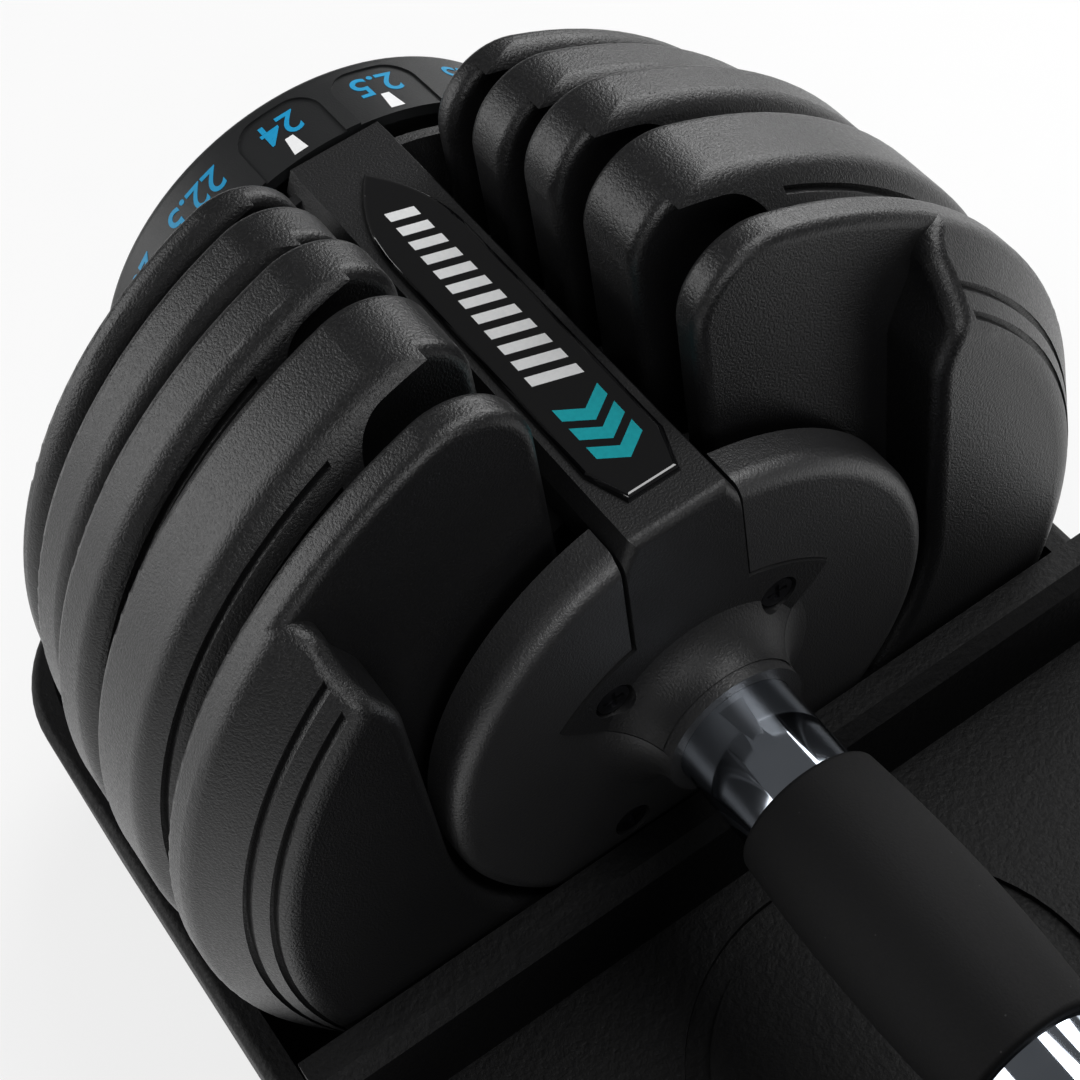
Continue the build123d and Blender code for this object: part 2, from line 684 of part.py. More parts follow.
def dial_carrier():
    """Fixed disc behind the dial: holds the bridge's outer end and guides the lock."""
    carrier = ring(CARRIER_RADIUS, SLEEVE_RADIUS + REST_GAP, CARRIER_STATION, CARRIER_BACK)
    carrier -= across(bar_outline(), CARRIER_STATION - CUT_MARGIN, LOCK_END + CUT_MARGIN)
    guide = LOCK_HALF + REST_GAP + RIB_WIDTH / 2
    rail = Rectangle(RIB_WIDTH, 2 * WHEEL_RADIUS)
    ribs = Pos(guide, 0) * rail + Pos(-guide, 0) * rail
    stop_level = LOCK_TOP + SPRING_LENGTH + REST_GAP
    ribs += Pos(0, stop_level + RIB_WIDTH / 2) * Rectangle(4 * SPRING_RADIUS, RIB_WIDTH)
    return carrier + across(on_axis(ribs), CARRIER_BACK, LOCK_END)


def index_wheel():
    """Wheel with one notch for each setting."""
    outline = Circle(WHEEL_RADIUS) - Circle(SLEEVE_RADIUS + SLIP)
    notch = Rectangle(2 * NOTCH_DEPTH, NOTCH_WIDTH)
    for place in PolarLocations(WHEEL_RADIUS, len(SETTING_UNITS), 90):
        outline -= place * notch
    return across(on_axis(outline), LOCK_START, LOCK_END)


def lock_slider():
    """Sliding frame round the index wheel: a tooth above and a foot below."""
    bottom = WINDOW_HALF + LOCK_BAR
    frame_height = LOCK_TOP + bottom
    frame = Pos(0, LOCK_TOP - frame_height / 2) * Rectangle(2 * LOCK_HALF, frame_height)
    window_height = WINDOW_TOP + WINDOW_HALF
    frame -= Pos(0, WINDOW_TOP - window_height / 2) * Rectangle(2 * WINDOW_HALF, window_height)
    tooth_height = WINDOW_TOP - TOOTH_BOTTOM
    frame += Pos(0, WINDOW_TOP - tooth_height / 2) * Rectangle(TOOTH_WIDTH, tooth_height)
    foot_height = LOCK_FOOT - bottom
    frame += Pos(0, -bottom - foot_height / 2) * Rectangle(2 * LOCK_FOOT_HALF, foot_height)
    return across(on_axis(frame), LOCK_START, LOCK_END)


def lock_spring():
    """Room of the small spring that pushes the lock down, drawn as a plain tube."""
    middle = (LOCK_START + LOCK_END) / 2
    radius = min(SPRING_RADIUS, LOCK_THICKNESS / 2)
    outline = Circle(radius) - Circle(radius - SPRING_WIRE)
    return extrude(Pos(middle, 0, AXIS_Z + LOCK_TOP + REST_GAP / 2) * outline, amount=SPRING_LENGTH)


def dial():
    """Dial with a broad rim for the numbers and a recess for the cap."""
    profile = (
        (DIAL_START, DIAL_RADIUS),
        (DIAL_END, DIAL_OUTER_RADIUS),
        (DIAL_END, CAP_RADIUS),
        (DIAL_WEB_END, CAP_RADIUS),
        (DIAL_WEB_END, ROD_RADIUS + SIDE_GAP),
        (DIAL_WEB_START, ROD_RADIUS + SIDE_GAP),
        (DIAL_WEB_START, DIAL_OUTER_RADIUS - DIAL_WALL),
        (DIAL_START, DIAL_RADIUS - DIAL_WALL),
    )
    solid = turned(profile)
    rim = max(edges_at(solid, DIAL_END), key=lambda edge: edge.radius)
    solid = fillet(rim, DIAL_ROUND)
    for cut in dial_screw_bores() + dial_panels():
        solid -= cut
    return solid


def dial_panels():
    """Shallow panels in the rim, open to the inner edge, for the last and first settings."""
    inner, outer = DIAL_START - CUT_MARGIN, DIAL_RADIUS + CUT_MARGIN
    shell = turned((
        (inner, DIAL_RADIUS - PANEL_DEPTH), (DIAL_END, DIAL_OUTER_RADIUS - PANEL_DEPTH),
        (DIAL_END, outer), (inner, outer),
    ))
    outline = Pos(DIAL_START, 0, AXIS_Z) * RectangleRounded(2 * PANEL_LENGTH, PANEL_WIDTH, PANEL_ROUND)
    panel = shell & extrude(outline, amount=2 * DIAL_RADIUS)
    turns = (-LAST_SETTING_ANGLE, SETTING_STEP - LAST_SETTING_ANGLE)
    return [Pos(0, 0, AXIS_Z) * Rot(turn, 0, 0) * Pos(0, 0, -AXIS_Z) * panel for turn in turns]


def dial_cap():
    """Low domed cap in the dial's recess."""
    outer = CAP_RADIUS - SLIP
    inner = DIAL_END - CAP_THICKNESS
    dome = ThreePointArc(
        (DIAL_END + CAP_RISE, 0), (DIAL_END + 0.8 * CAP_RISE, outer / 2), (DIAL_END, outer)
    )
    rest = Polyline(
        (DIAL_END, outer), (DIAL_WEB_END, outer), (DIAL_WEB_END, outer - CAP_LIP),
        (inner + CAP_RISE, outer - CAP_LIP), (inner + CAP_RISE, 0), (DIAL_END + CAP_RISE, 0),
    )
    return Pos(0, 0, AXIS_Z) * revolve(Plane.XZ * make_face(dome + rest), Axis.X)


def axle_nut():
    """Hexagon nut on the axle rod."""
    outline = RegularPolygon(NUT_ACROSS_FLATS / 2, 6, major_radius=False)
    outline -= Circle(ROD_RADIUS + SLIP)
    return across(on_axis(outline), NUT_START, ROD_END)


def axle_washer():
    return ring(WASHER_RADIUS, ROD_RADIUS + SLIP, WASHER_START, NUT_START)


def end_pieces():
    """Every piece of the +X end, by name."""
    pieces = {
        "inner_disc": inner_disc(),
        "bridge": bridge(),
        "bridge_label": bridge_label(),
        "disc_screws": disc_screws(),
        "selector_sleeve": selector_sleeve(),
        "dial_carrier": dial_carrier(),
        "index_wheel": index_wheel(),
        "lock_slider": lock_slider(),
        "lock_spring": lock_spring(),
        "dial": dial(),
        "dial_cap": dial_cap(),
        "dial_screws": dial_screws(),
        "axle_nut": axle_nut(),
        "axle_washer": axle_washer(),
    }
    for index in range(PLATE_COUNT):
        pieces[f"plate_{index + 1}"] = plate(index)
        pieces[f"selector_disc_{index + 1}"] = selector_disc(index)
    return pieces


def main():
    os.makedirs("parts", exist_ok=True)
    pieces = {
        "base_tray": base_tray(),
        "tray_feet": tray_feet(),
        "handle_tube": handle_tube(),
        "axle_rod": axle_rod(),
        "grip_sleeve": grip_sleeve(),
    }
    for name, solid in end_pieces().items():
        pieces[f"{name}_right"] = solid
        pieces[f"{name}_left"] = Rot(0, 0, 180) * solid
    for name, solid in pieces.items():
        export_step(solid, f"parts/{name}.step")
        print(name, round(solid.volume))


main()
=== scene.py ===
# %% [markdown]
# # An adjustable dumbbell in its tray
# The dumbbell stands in a moulded tray. Its solids come from the frame, already in place.
# This lesson gives each solid the finish of the real material, prints the numbers on the
# two dials, lays an inlay on the glossy labels, and lights the whole as a studio would.

# %% Load the frame
from math import pi, radians

import bpy
import numpy as np
from mathutils import Matrix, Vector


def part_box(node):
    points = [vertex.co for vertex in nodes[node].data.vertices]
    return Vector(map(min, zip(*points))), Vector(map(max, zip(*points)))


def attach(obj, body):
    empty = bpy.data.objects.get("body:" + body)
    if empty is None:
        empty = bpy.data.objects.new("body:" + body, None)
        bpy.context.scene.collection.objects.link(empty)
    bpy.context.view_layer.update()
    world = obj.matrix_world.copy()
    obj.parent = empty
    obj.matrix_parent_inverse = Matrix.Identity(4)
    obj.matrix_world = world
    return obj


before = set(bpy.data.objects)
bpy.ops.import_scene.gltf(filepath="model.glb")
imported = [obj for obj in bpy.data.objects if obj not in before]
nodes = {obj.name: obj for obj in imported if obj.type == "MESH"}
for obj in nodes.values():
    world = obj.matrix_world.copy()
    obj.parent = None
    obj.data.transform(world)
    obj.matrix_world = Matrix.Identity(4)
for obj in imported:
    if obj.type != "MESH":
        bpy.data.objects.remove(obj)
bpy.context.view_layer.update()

MM = 0.001

# %% [markdown]
# ## Small helpers
# Every colour is written as the hex value that a picture editor shows and is turned to
# linear light here. One helper adds a node, sets its values and links its inputs. The
# others use it for what every finish needs: noise of a size in millimetres, a colour
# between two tones, a value spread over a range, a bump, and the shader at the end.


# %% Colour and node helpers
def linear(hex_colour):
    """sRGB hex to linear RGBA: the curve's straight foot below 0.04045, its power above."""
    srgb = np.array([int(hex_colour[i:i + 2], 16) for i in (1, 3, 5)]) / 255
    foot = srgb / 12.92
    curve = ((srgb + 0.055) / 1.055) ** 2.4
    return (*np.where(srgb <= 0.04045, foot, curve), 1.0)


def add(tree, kind, inputs=None, **settings):
    """Add one node with its settings; an input is a value or another node's output."""
    node = tree.nodes.new(kind)
    for name, value in settings.items():
        setattr(node, name, value)
    for name, value in (inputs or {}).items():
        if isinstance(value, bpy.types.NodeSocket):
            tree.links.new(value, node.inputs[name])
        else:
            node.inputs[name].default_value = value
    return node


def noise(tree, vector, size_mm, detail=2.0, roughness=0.5):
    """Cloudy values round one half, whose largest features are about size_mm wide."""
    return add(tree, "ShaderNodeTexNoise",
               {"Vector": vector, "Scale": 1 / (size_mm * MM), "Detail": detail,
                "Roughness": roughness}).outputs["Fac"]


def between(tree, factor, dark, light):
    """The colour that lies between two tones at a factor from 0 to 1."""
    return add(tree, "ShaderNodeMix", {"Factor": factor, "A": linear(dark), "B": linear(light)},
               data_type="RGBA").outputs["Result"]


def spread(tree, value, low, high, start=0.0, end=1.0):
    """The range from start to end, spread evenly from low to high and cut off beyond."""
    return add(tree, "ShaderNodeMapRange",
               {"Value": value, "From Min": start, "From Max": end, "To Min": low,
                "To Max": high}).outputs["Result"]


def combine(tree, operation, first, second):
    """Two values joined by one operation of the Math node."""
    return add(tree, "ShaderNodeMath", {0: first, 1: second},
               operation=operation).outputs["Value"]


def bumped(tree, height, height_mm, strength):
    """The normal of a surface that rises by height_mm where the height is 1."""
    return add(tree, "ShaderNodeBump",
               {"Height": height, "Distance": height_mm * MM,
                "Strength": strength}).outputs["Normal"]


def start_material(name):
    """An empty material, its node tree and the Object coordinates in metres."""
    material = bpy.data.materials.new(name)
    material.use_nodes = True
    tree = material.node_tree
    tree.nodes.clear()
    place = add(tree, "ShaderNodeTexCoord").outputs["Object"]
    return material, tree, place


def close_material(tree, inputs):
    """The shader and the output that end a material."""
    shader = add(tree, "ShaderNodeBsdfPrincipled", inputs)
    add(tree, "ShaderNodeOutputMaterial", {"Surface": shader.outputs["BSDF"]})


def print_finishes(title, finishes):
    """Say which materials a cell made."""
    print(title, len(finishes), "-", ", ".join(finish.name for finish in finishes))


print("helpers ready")

# %% [markdown]
# ## Black finishes with a grain
# Nearly all of the dumbbell is black, so the grain tells its pieces apart: a sandy coat on
# the plates, a fine spark-eroded grain on the moulded ends, a leather grain in the tray.
# Each is the same recipe with its own sizes: fine noise of one grain size makes the bump
# and wavers the shine, and a wide cloud shifts the colour a little. The leather adds round
# pebbles to the bump.

# %% Grained black finishes
PLASTIC_IOR = 1.5
GRAIN_STRENGTH = 0.9
GRAIN_ROUGHNESS = 0.6
GRAIN_VALUES = (0.3, 0.7)  # nearly all of the noise lies between these
PEBBLE_GRAINS = 2.2        # a pebble's width in grains


def grained_black(name, tones, grain_mm, height_mm, rough, gloss=0.5, cloud_mm=25,
                  leather=False):
    """Black polymer: fine grain for bump and shine, a wide cloud for the colour."""
    material, tree, place = start_material(name)
    grain = noise(tree, place, grain_mm, roughness=GRAIN_ROUGHNESS)
    cloud = noise(tree, place, cloud_mm, detail=3.0)
    height = grain
    if leather:
        pebbles = add(tree, "ShaderNodeTexVoronoi",
                      {"Vector": place, "Scale": 1 / (PEBBLE_GRAINS * grain_mm * MM),
                       "Randomness": 1.0}, feature="SMOOTH_F1")
        height = combine(tree, "ADD", pebbles.outputs["Distance"], grain)
    close_material(tree, {"Base Color": between(tree, cloud, *tones),
                          "Roughness": spread(tree, grain, *rough, *GRAIN_VALUES),
                          "Normal": bumped(tree, height, height_mm, GRAIN_STRENGTH),
                          "IOR": PLASTIC_IOR, "Specular IOR Level": gloss})
    return material


# Textured coat over iron: sprayed or moulded with a sandy skin, satin at a low angle.
plate_coat = grained_black("sand textured coat", ("#0f0f10", "#161617"),
                           0.5, 0.17, (0.28, 0.46))
# Moulded ABS of the bridges: a fine even grain from the spark-eroded tool.
moulded_abs = grained_black("moulded ABS", ("#141415", "#1b1b1c"),
                            0.5, 0.15, (0.38, 0.55), gloss=0.4)
# Moulded ABS of the inner discs: the same tool finish, in a paler tone all over.
disc_abs = grained_black("polished grain ABS", ("#1f1f20", "#29292a"),
                         0.5, 0.15, (0.34, 0.50), gloss=0.8)
# Dial ABS: the same plastic from a smoother tool.
dial_abs = grained_black("smooth moulded ABS", ("#161718", "#1c1d1e"),
                         0.35, 0.03, (0.40, 0.50))
# Tray polypropylene: a pebbled leather grain that breaks up the shine.
tray_pp = grained_black("leather grain polypropylene", ("#070708", "#0c0c0d"),
                        0.7, 0.12, (0.46, 0.64), gloss=0.2, leather=True)
# Moulded rubber under the tray.
foot_rubber = grained_black("moulded rubber", ("#101010", "#171717"),
                            0.5, 0.06, (0.7, 0.85), gloss=0.3)
# Glass-filled nylon of the hidden selectors: streaky and dull.
selector_nylon = grained_black("glass filled nylon", ("#202122", "#2b2c2d"),
                               0.3, 0.03, (0.5, 0.65), cloud_mm=6)
print_finishes("grained finishes", (plate_coat, moulded_abs, disc_abs, dial_abs, tray_pp,
                                    foot_rubber, selector_nylon))

# %% [markdown]
# ## Rubber grip
# The grip is foamed rubber with a ground surface. It has hardly any shine, and a few pale
# specks of mould dust. A Voronoi pattern gives each point its distance from the middle of
# the nearest cell, and only the smallest distances become specks.

# %% Grip rubber
PORE_MM = 0.5
PORE_HEIGHT_MM = 0.08
PORE_STRENGTH = 0.5
DUST_MM = 3.5
SPECK_CORE = 0.03   # share of a dust cell that is full speck
SPECK_EDGE = 0.06   # share at which the speck has faded out
SPECK_COVER = 0.5
grip_rubber, tree, place = start_material("ground foam rubber")
pores = noise(tree, place, PORE_MM, detail=3.0)
dust = add(tree, "ShaderNodeTexVoronoi", {"Vector": place, "Scale": 1 / (DUST_MM * MM)})
speck = spread(tree, dust.outputs["Distance"], SPECK_COVER, 0.0, SPECK_CORE, SPECK_EDGE)
close_material(tree, {"Base Color": between(tree, speck, "#0e0e0f", "#4a4a4b"),
                      "Roughness": spread(tree, pores, 0.62, 0.8),
                      "Normal": bumped(tree, pores, PORE_HEIGHT_MM, PORE_STRENGTH),
                      "IOR": PLASTIC_IOR, "Specular IOR Level": 0.2})
print_finishes("grip finishes", (grip_rubber,))

# %% [markdown]
# ## Metals
# The tube is chrome-plated: a mirror with very faint polishing waves, and a cool blue tint
# that is painted reflection of the blue surroundings. The rods and wheels inside are turned
# steel, with fine rings round the handle's axis. The screws are black oxide steel.


# %% Metal finishes
def metal(name, tones, rough, size_mm, squeeze=1.0):
    """Metal whose tint and shine waver with a noise that is squeezed along the handle."""
    material, tree, place = start_material(name)
    turned = add(tree, "ShaderNodeMapping", {"Vector": place, "Scale": (squeeze, 1.0, 1.0)})
    waves = noise(tree, turned.outputs["Vector"], size_mm)
    close_material(tree, {"Base Color": between(tree, waves, *tones), "Metallic": 1.0,
                          "Roughness": spread(tree, waves, *rough)})
    return material


# The cool blue tint in the chrome's colour is a painted reflection of blue surroundings.
chrome = metal("chrome plate", ("#b3bcc9", "#ccd3dd"), (0.03, 0.07), 12)
turned_steel = metal("turned steel", ("#9a9c9f", "#b4b6b8"), (0.25, 0.4), 3, squeeze=12.0)
black_oxide = metal("black oxide steel", ("#4a4a4e", "#626267"), (0.25, 0.4), 1.2)
print_finishes("metals", (chrome, turned_steel, black_oxide))

# %% [markdown]
# ## Gloss and print
# The label is a black film under a dome of clear resin, so it is a smooth dark base with a
# coat. The prints are paints with a slightly uneven coverage.

# %% Label resin and paints
COVER_MM = 0.8
RESIN_ROUGHNESS = 0.03


def paint(name, tones, rough, coat):
    """Printed paint, bare or under resin: its cover varies over about a millimetre."""
    material, tree, place = start_material(name)
    cover = noise(tree, place, COVER_MM)
    close_material(tree, {"Base Color": between(tree, cover, *tones),
                          "Roughness": spread(tree, cover, *rough), "IOR": PLASTIC_IOR,
                          "Coat Weight": coat, "Coat Roughness": RESIN_ROUGHNESS})
    return material


label_resin = paint("resin domed black film", ("#050506", "#08080a"), (0.05, 0.09), 1.0)
number_paint = paint("blue filled engraving", ("#0789ba", "#1099ca"), (0.45, 0.6), 0.0)
mark_paint = paint("white filled mark", ("#e9eaeb", "#f6f6f6"), (0.45, 0.6), 0.0)
inlay_teal = paint("teal print under resin", ("#0d97a2", "#16adb6"), (0.15, 0.25), 1.0)
inlay_white = paint("white print under resin", ("#dfe1e2", "#f0f0f0"), (0.15, 0.25), 1.0)
print_finishes("paints", (label_resin, number_paint, mark_paint, inlay_teal, inlay_white))

# %% [markdown]
# ## Dress the solids
# Each solid keeps its shape and gets one of the finishes above. The longest key that its
# name begins with decides, so that a dial's cap, screws and carrier aren't taken for a dial.

# %% Give each solid its finish
FINISHES = {
    "base_tray": tray_pp, "tray_feet": foot_rubber, "grip_sleeve": grip_rubber,
    "handle_tube": chrome, "axle_rod": turned_steel, "axle_nut": turned_steel,
    "axle_washer": turned_steel, "index_wheel": turned_steel, "lock_slider": turned_steel,
    "lock_spring": turned_steel, "disc_screws": black_oxide, "dial_screws": black_oxide,
    "inner_disc": disc_abs, "bridge": moulded_abs, "dial_carrier": moulded_abs,
    "bridge_label": label_resin, "dial_cap": dial_abs, "dial": dial_abs,
    "selector": selector_nylon, "plate": plate_coat,
}
for name, solid in nodes.items():
    kind = max((key for key in FINISHES if name.startswith(key)), key=len)
    solid.data.materials.clear()
    solid.data.materials.append(FINISHES[kind])
print("dressed", len(nodes), "solids")

# %% [markdown]
# ## Numbers on the dials
# Sixteen settings go round each dial. A number is flat text first. Its width is then wound
# round the dial and its height laid along the handle, so that someone who stands at that
# end of the dumbbell reads it. Beside the first and the last setting is a white mark.
# Stations are distances from the middle of the handle.

# %% Dial sizes from the frame
dial_low, dial_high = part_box("dial_left")
axis_z = (dial_low.z + dial_high.z) / 2
dial_start = -dial_high.x
dial_end = -dial_low.x
dial_radius = dial_high.z - axis_z
DIAL_TAPER = 1.0 * MM
PANEL_DEPTH = 0.5 * MM
SETTINGS = (2.5, 3.5, 4.5, 5.5, 6.5, 8, 9, 10, 11.5, 12.5, 13.5, 16, 18, 20.5, 22.5, 24)
MARKED = (0, len(SETTINGS) - 1)
STEP = 2 * pi / len(SETTINGS)
LAST_ANGLE = radians(5.5)
NUMBER_STATION = dial_start + 10.2 * MM
NUMBER_HEIGHT = 6.4 * MM
NUMBER_LIFT = 0.16 * MM    # middle of the print above the rim
NUMBER_RELIEF = 0.04 * MM  # half of the print's thickness
NUMBER_WEIGHT = 0.1 * MM   # added to the strokes on each side
NUMBER_RESOLUTION = 6      # steps in a curve of the outline
DIGIT_SHARE = 0.7          # a digit's height in the font's size
MARK_STATION = dial_start + 4.2 * MM
MARK_LENGTH = 5.2 * MM
MARK_NARROW = 1.9 * MM
MARK_WIDE = 3.2 * MM
print("dial radius", round(dial_radius / MM, 1), "mm, from", round(dial_start / MM, 1))

# %% [markdown]
# ### Meshes from points
# A print is a list of points and a list of faces. Text gives both. A mark or a bar is a
# small grid of points, fine enough to follow the dial's curve.

# %% Flat shapes
PATCH = 5  # points along each side of a small grid


def mesh_piece(name, points, faces, material, slot_name, body):
    """A mesh from arrays, with its finish, riding on a body of the frame."""
    mesh = bpy.data.meshes.new(name)
    mesh.from_pydata(points.tolist(), [], [list(map(int, face)) for face in faces])
    mesh.update()
    mesh.materials.append(material)
    piece = bpy.data.objects.new(name, mesh)
    bpy.context.scene.collection.objects.link(piece)
    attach(piece, body)


def joined(parts):
    """Several (points, faces) pairs as one pair, with the face numbers moved on."""
    starts = np.cumsum([0] + [len(points) for points, _ in parts[:-1]])
    faces = [tuple(start + np.array(face))
             for start, (_, part) in zip(starts, parts) for face in part]
    return np.concatenate([points for points, _ in parts]), faces


def patch_shares():
    """Two square grids of shares from -0.5 to 0.5: along the columns, along the rows."""
    shares = np.linspace(-0.5, 0.5, PATCH)
    return np.meshgrid(shares, shares)


def patch_faces():
    """Quads of a square grid of points that is stored row by row."""
    corner = np.arange((PATCH - 1) * PATCH).reshape(PATCH - 1, PATCH)[:, :-1].ravel()
    return np.stack([corner, corner + 1, corner + PATCH + 1, corner + PATCH], axis=1)


def flat_number(text):
    """One number as a flat mesh round the origin: points and faces."""
    curve = bpy.data.curves.new("number", "FONT")
    curve.body = text
    curve.size = NUMBER_HEIGHT / DIGIT_SHARE
    curve.offset = NUMBER_WEIGHT
    curve.extrude = NUMBER_RELIEF
    curve.resolution_u = NUMBER_RESOLUTION
    curve.align_x = "CENTER"
    shape = bpy.data.objects.new("number", curve)
    mesh = bpy.data.meshes.new_from_object(shape)
    points = np.zeros(3 * len(mesh.vertices))
    mesh.vertices.foreach_get("co", points)
    points = points.reshape(-1, 3)
    points[:, 1] -= NUMBER_HEIGHT / 2
    faces = [tuple(polygon.vertices) for polygon in mesh.polygons]
    bpy.data.objects.remove(shape)
    bpy.data.curves.remove(curve)
    bpy.data.meshes.remove(mesh)
    return points, faces


def flat_mark():
    """Trapezium: its width grows evenly from the number's side to the handle's side."""
    across, up = patch_shares()
    width = MARK_NARROW + (MARK_WIDE - MARK_NARROW) * (up + 0.5)
    flat = np.stack([across * width, up * MARK_LENGTH, 0 * up], axis=-1).reshape(-1, 3)
    return flat, patch_faces()


print("a mark has", PATCH ** 2, "points")

# %% [markdown]
# ### Winding
# The rim is nearly a cylinder round the handle. A flat point's width, divided by the
# radius, is the angle that it turns from its setting.


# %% Wind the prints onto both dials
def setting_angle(index):
    """The last setting is just beside the top, the others follow round the dial."""
    return LAST_ANGLE + (len(SETTINGS) - 1 - index) * STEP


def wind_on_dial(flat, index, station, side):
    """Width becomes angle, height becomes station towards the handle, on the tapered rim.

    The rim's radius falls evenly from the dial's inner edge to its outer edge, and the
    first and last settings lie in a shallow panel. The other end of the dumbbell is the
    same, turned half round about the upright axis.
    """
    along = station - flat[:, 1]
    share = (along - dial_start) / (dial_end - dial_start)
    sunk = PANEL_DEPTH if index in MARKED else 0.0
    radius = dial_radius - DIAL_TAPER * share - sunk + NUMBER_LIFT + flat[:, 2]
    turn = setting_angle(index) + flat[:, 0] / dial_radius
    points = np.stack([-along, -radius * np.sin(turn), radius * np.cos(turn)], axis=1)
    return points * np.array([side, side, 1.0]) + np.array([0, 0, axis_z])


for body, side in (("dial_left", 1.0), ("dial_right", -1.0)):
    numbers = []
    for index, weight in enumerate(SETTINGS):
        points, faces = flat_number(f"{weight:g}")
        numbers.append((wind_on_dial(points, index, NUMBER_STATION, side), faces))
    mesh_piece(f"{body}_numbers", *joined(numbers), number_paint, "dial_plastic", body)
    mark_points, mark_faces = flat_mark()
    marks = [(wind_on_dial(mark_points, index, MARK_STATION, side), mark_faces)
             for index in MARKED]
    mesh_piece(f"{body}_marks", *joined(marks), mark_paint, "dial_plastic", body)
    print(body, "numbers", len(numbers), "marks", len(marks))

# %% [markdown]
# ## Inlay of the labels
# Under the resin lies a plain ornament: slanted white bars in a row, and teal chevrons
# at the blunt end. A bar is a sheared rectangle, a chevron two sheared rectangles that
# mirror each other. Both are counted from the end of the label that is nearer the grip.

# %% Inlay
INLAY_LIFT = 0.02 * MM
BAR_COUNT = 12
BAR_START = 30.0 * MM
BAR_PITCH = 4.6 * MM
BAR_LENGTH = 2.6 * MM
BAR_WIDTH = 9.0 * MM
BAR_NARROWING = 0.32 * MM  # from each bar to the next
BAR_SHEAR = 0.35
CHEVRON_COUNT = 3
CHEVRON_START = 10.0 * MM
CHEVRON_PITCH = 5.2 * MM
CHEVRON_LENGTH = 3.2 * MM
CHEVRON_ARM = 4.8 * MM
CHEVRON_SHEAR = 0.7


def sheared(centre, length, width, shear, level):
    """Rectangle whose ends are shifted along the label in proportion to the width."""
    along, across = patch_shares()
    x = centre[0] + along * length + shear * across * width
    y = centre[1] + across * width
    return np.stack([x, y, np.full_like(x, level)], axis=-1).reshape(-1, 3), patch_faces()


for label, side in (("bridge_label_left", -1.0), ("bridge_label_right", 1.0)):
    low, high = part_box(label)
    level = high.z + INLAY_LIFT
    blunt_end = min(abs(low.x), abs(high.x))
    bars = []
    for index in range(BAR_COUNT):
        station = blunt_end + BAR_START + BAR_PITCH * index
        width = BAR_WIDTH - BAR_NARROWING * index
        bars.append(sheared((side * station, 0.0), BAR_LENGTH, width, BAR_SHEAR, level))
    mesh_piece(f"{label}_bars", *joined(bars), inlay_white, "label_gloss", "handle")
    chevrons = []
    for index in range(CHEVRON_COUNT):
        station = blunt_end + CHEVRON_START + CHEVRON_PITCH * index
        for half in (-1.0, 1.0):
            chevrons.append(sheared((side * station, half * CHEVRON_ARM / 2), CHEVRON_LENGTH,
                                    CHEVRON_ARM, half * side * CHEVRON_SHEAR, level))
    mesh_piece(f"{label}_chevrons", *joined(chevrons), inlay_teal, "label_gloss", "handle")
    print(label, "bars", len(bars), "chevrons", CHEVRON_COUNT)

# %% [markdown]
# ## Studio
# A wide pale floor carries the shadow. Seen straight on it is nearly white, as a lit
# backdrop is, and a mirror shows it so as far as a table's edge. The world is white behind
# the floor, but gives the dumbbell only a little light.

# %% Floor and world
FLOOR_HALF = 4.0
FLOOR_GLOW = 0.75  # the rest of a seen floor point is lit paper, which keeps the shadow
FIBRE_MM = 25
TABLE_INNER = 0.35
TABLE_OUTER = 0.75
SKY_LIGHT = 0.10
WHITE = (1.0, 1.0, 1.0, 1.0)
floor_points = FLOOR_HALF * np.array([[-1, -1, 0], [1, -1, 0], [1, 1, 0], [-1, 1, 0]], float)
floor_mesh = bpy.data.meshes.new("floor")
floor_mesh.from_pydata(floor_points.tolist(), [], [[0, 1, 2, 3]])
floor = bpy.data.objects.new("floor", floor_mesh)
bpy.context.scene.collection.objects.link(floor)

white_floor, tree, place = start_material("white paper floor")
paper = between(tree, noise(tree, place, FIBRE_MM), "#f0f0f0", "#f4f4f4")
matte = add(tree, "ShaderNodeBsdfDiffuse", {"Color": paper})
glow = add(tree, "ShaderNodeEmission", {"Color": WHITE, "Strength": 1.0})
ray = add(tree, "ShaderNodeLightPath").outputs
distance = add(tree, "ShaderNodeVectorMath", {0: place}, operation="LENGTH").outputs["Value"]
table = spread(tree, distance, 1.0, 0.0, TABLE_INNER, TABLE_OUTER)
in_mirror = combine(tree, "MAXIMUM", ray["Is Glossy Ray"], ray["Is Transmission Ray"])
table_in_mirror = combine(tree, "MULTIPLY", in_mirror, table)
seen = combine(tree, "MAXIMUM", ray["Is Camera Ray"], table_in_mirror)
glow_share = combine(tree, "MULTIPLY", seen, FLOOR_GLOW)
blend = add(tree, "ShaderNodeMixShader", {0: glow_share, 1: matte.outputs["BSDF"],
                                          2: glow.outputs["Emission"]})
add(tree, "ShaderNodeOutputMaterial", {"Surface": blend.outputs["Shader"]})
floor_mesh.materials.append(white_floor)

world = bpy.data.worlds.new("studio")
bpy.context.scene.world = world
world.use_nodes = True
tree = world.node_tree
tree.nodes.clear()
seen_sky = add(tree, "ShaderNodeLightPath").outputs["Is Camera Ray"]
sky = add(tree, "ShaderNodeBackground",
          {"Color": WHITE, "Strength": spread(tree, seen_sky, SKY_LIGHT, 1.0)})
add(tree, "ShaderNodeOutputWorld", {"Surface": sky.outputs["Background"]})
print("floor", 2 * FLOOR_HALF, "m wide, sky light", SKY_LIGHT)

# %% [markdown]
# ### Lamps
# Large soft boxes stand above and beside the dumbbell, so that its black edges get broad
# pale lines and its faces stay dark. All of them face the end that the camera looks at.


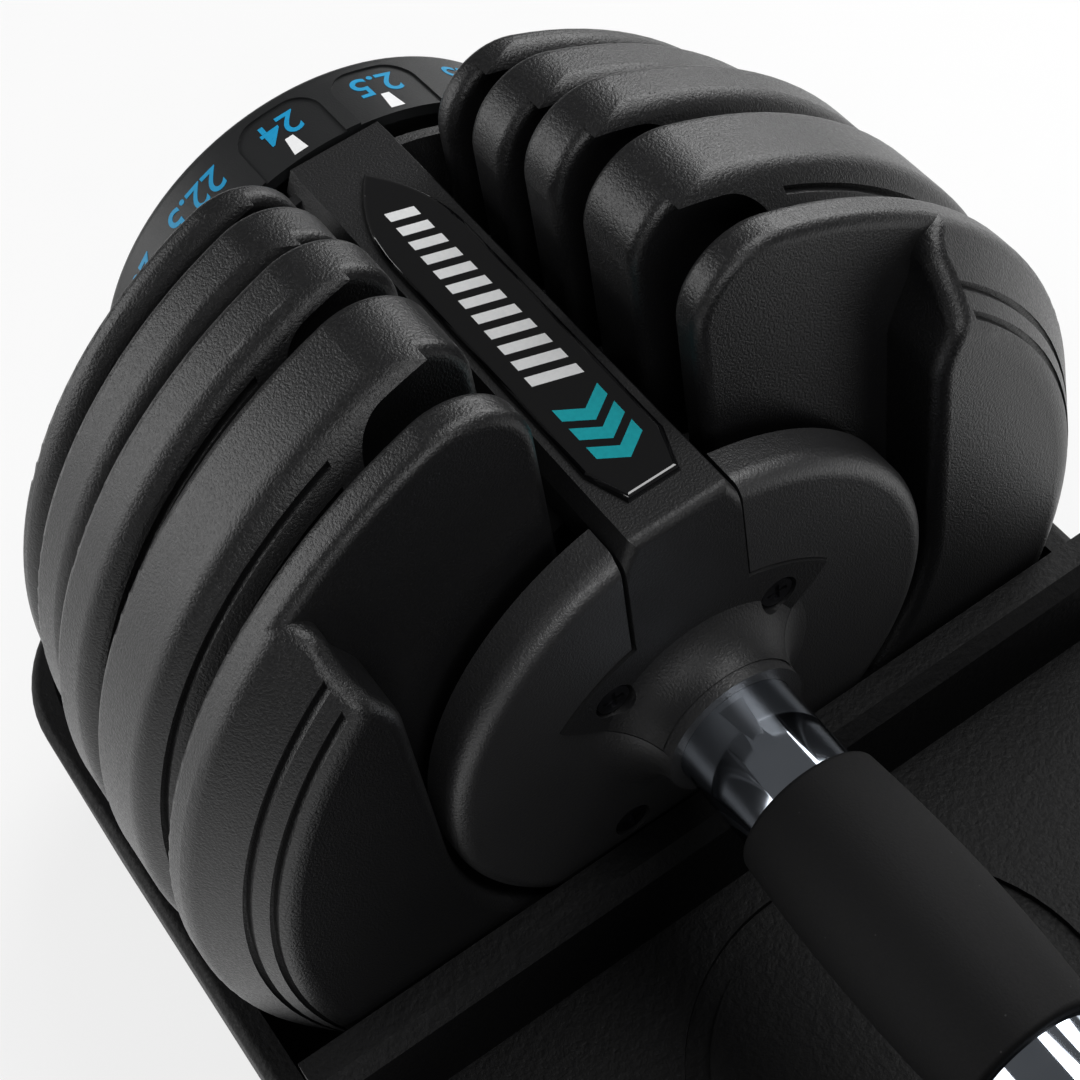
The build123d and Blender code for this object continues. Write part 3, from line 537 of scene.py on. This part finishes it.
# %% Lamps
def stand(data, place, right, forward):
    """Put a lamp or a camera at a place; it looks along forward, with right to its right."""
    holder = bpy.data.objects.new(data.name, data)
    bpy.context.scene.collection.objects.link(holder)
    up = np.cross(right, forward)
    turn = Matrix((right, up, -forward)).transposed().to_4x4()
    holder.matrix_world = Matrix.Translation(place) @ turn
    return holder


def soft_lamp(name, place, target, width, height, power):
    """A soft box at a place, turned to face its target and kept level."""
    lamp = bpy.data.lights.new(name, "AREA")
    lamp.shape = "RECTANGLE"
    lamp.size = width
    lamp.size_y = height
    lamp.energy = power
    forward = np.array(target, float) - np.array(place, float)
    forward /= np.linalg.norm(forward)
    right = np.cross(forward, [0.0, 0.0, 1.0])
    right /= np.linalg.norm(right)
    stand(lamp, place, right, forward)


MIDDLE = (-0.09, 0.0, axis_z)
# Name, place, width and height in metres, power in watts.
LAMPS = (
    ("top soft box", (0.05, 0.45, 1.05), 0.6, 0.6, 6.0),
    ("left soft box", (-0.65, -0.85, 0.5), 1.0, 0.7, 6.5),
    ("right soft box", (-0.55, 0.95, 0.6), 0.7, 0.7, 7.0),
    ("front soft box", (0.9, -0.2, 0.7), 0.6, 0.6, 4.2),
)
for name, place, width, height, power in LAMPS:
    soft_lamp(name, place, MIDDLE, width, height, power)
print("lamps", len(LAMPS))

# %% [markdown]
# ## Camera
# The photograph looks down on one end at a steep angle, slightly rolled, from close by.
# The place and the directions come from matching circles and straight edges of the solids
# with the picture. The place is measured from the middle of the handle.

# %% Camera
FOCAL_PIXELS = 2185.0
IMAGE_PIXELS = 1080
SENSOR = 36.0
CLIP_START = 0.01
camera_place = np.array([122.0, -109.3, 352.6]) * MM + np.array([0, 0, axis_z])
right = np.array([0.5578, 0.8209, -0.1224])
forward = np.array([-0.5331, 0.2413, -0.8109])
forward /= np.linalg.norm(forward)
right -= forward * (right @ forward)
right /= np.linalg.norm(right)
camera = bpy.data.cameras.new("camera")
camera.sensor_width = SENSOR
camera.lens = FOCAL_PIXELS / IMAGE_PIXELS * SENSOR
camera.clip_start = CLIP_START
bpy.context.scene.camera = stand(camera, camera_place, right, forward)
bpy.context.scene.view_settings.view_transform = "Standard"
print("lens", round(camera.lens, 1), "mm")
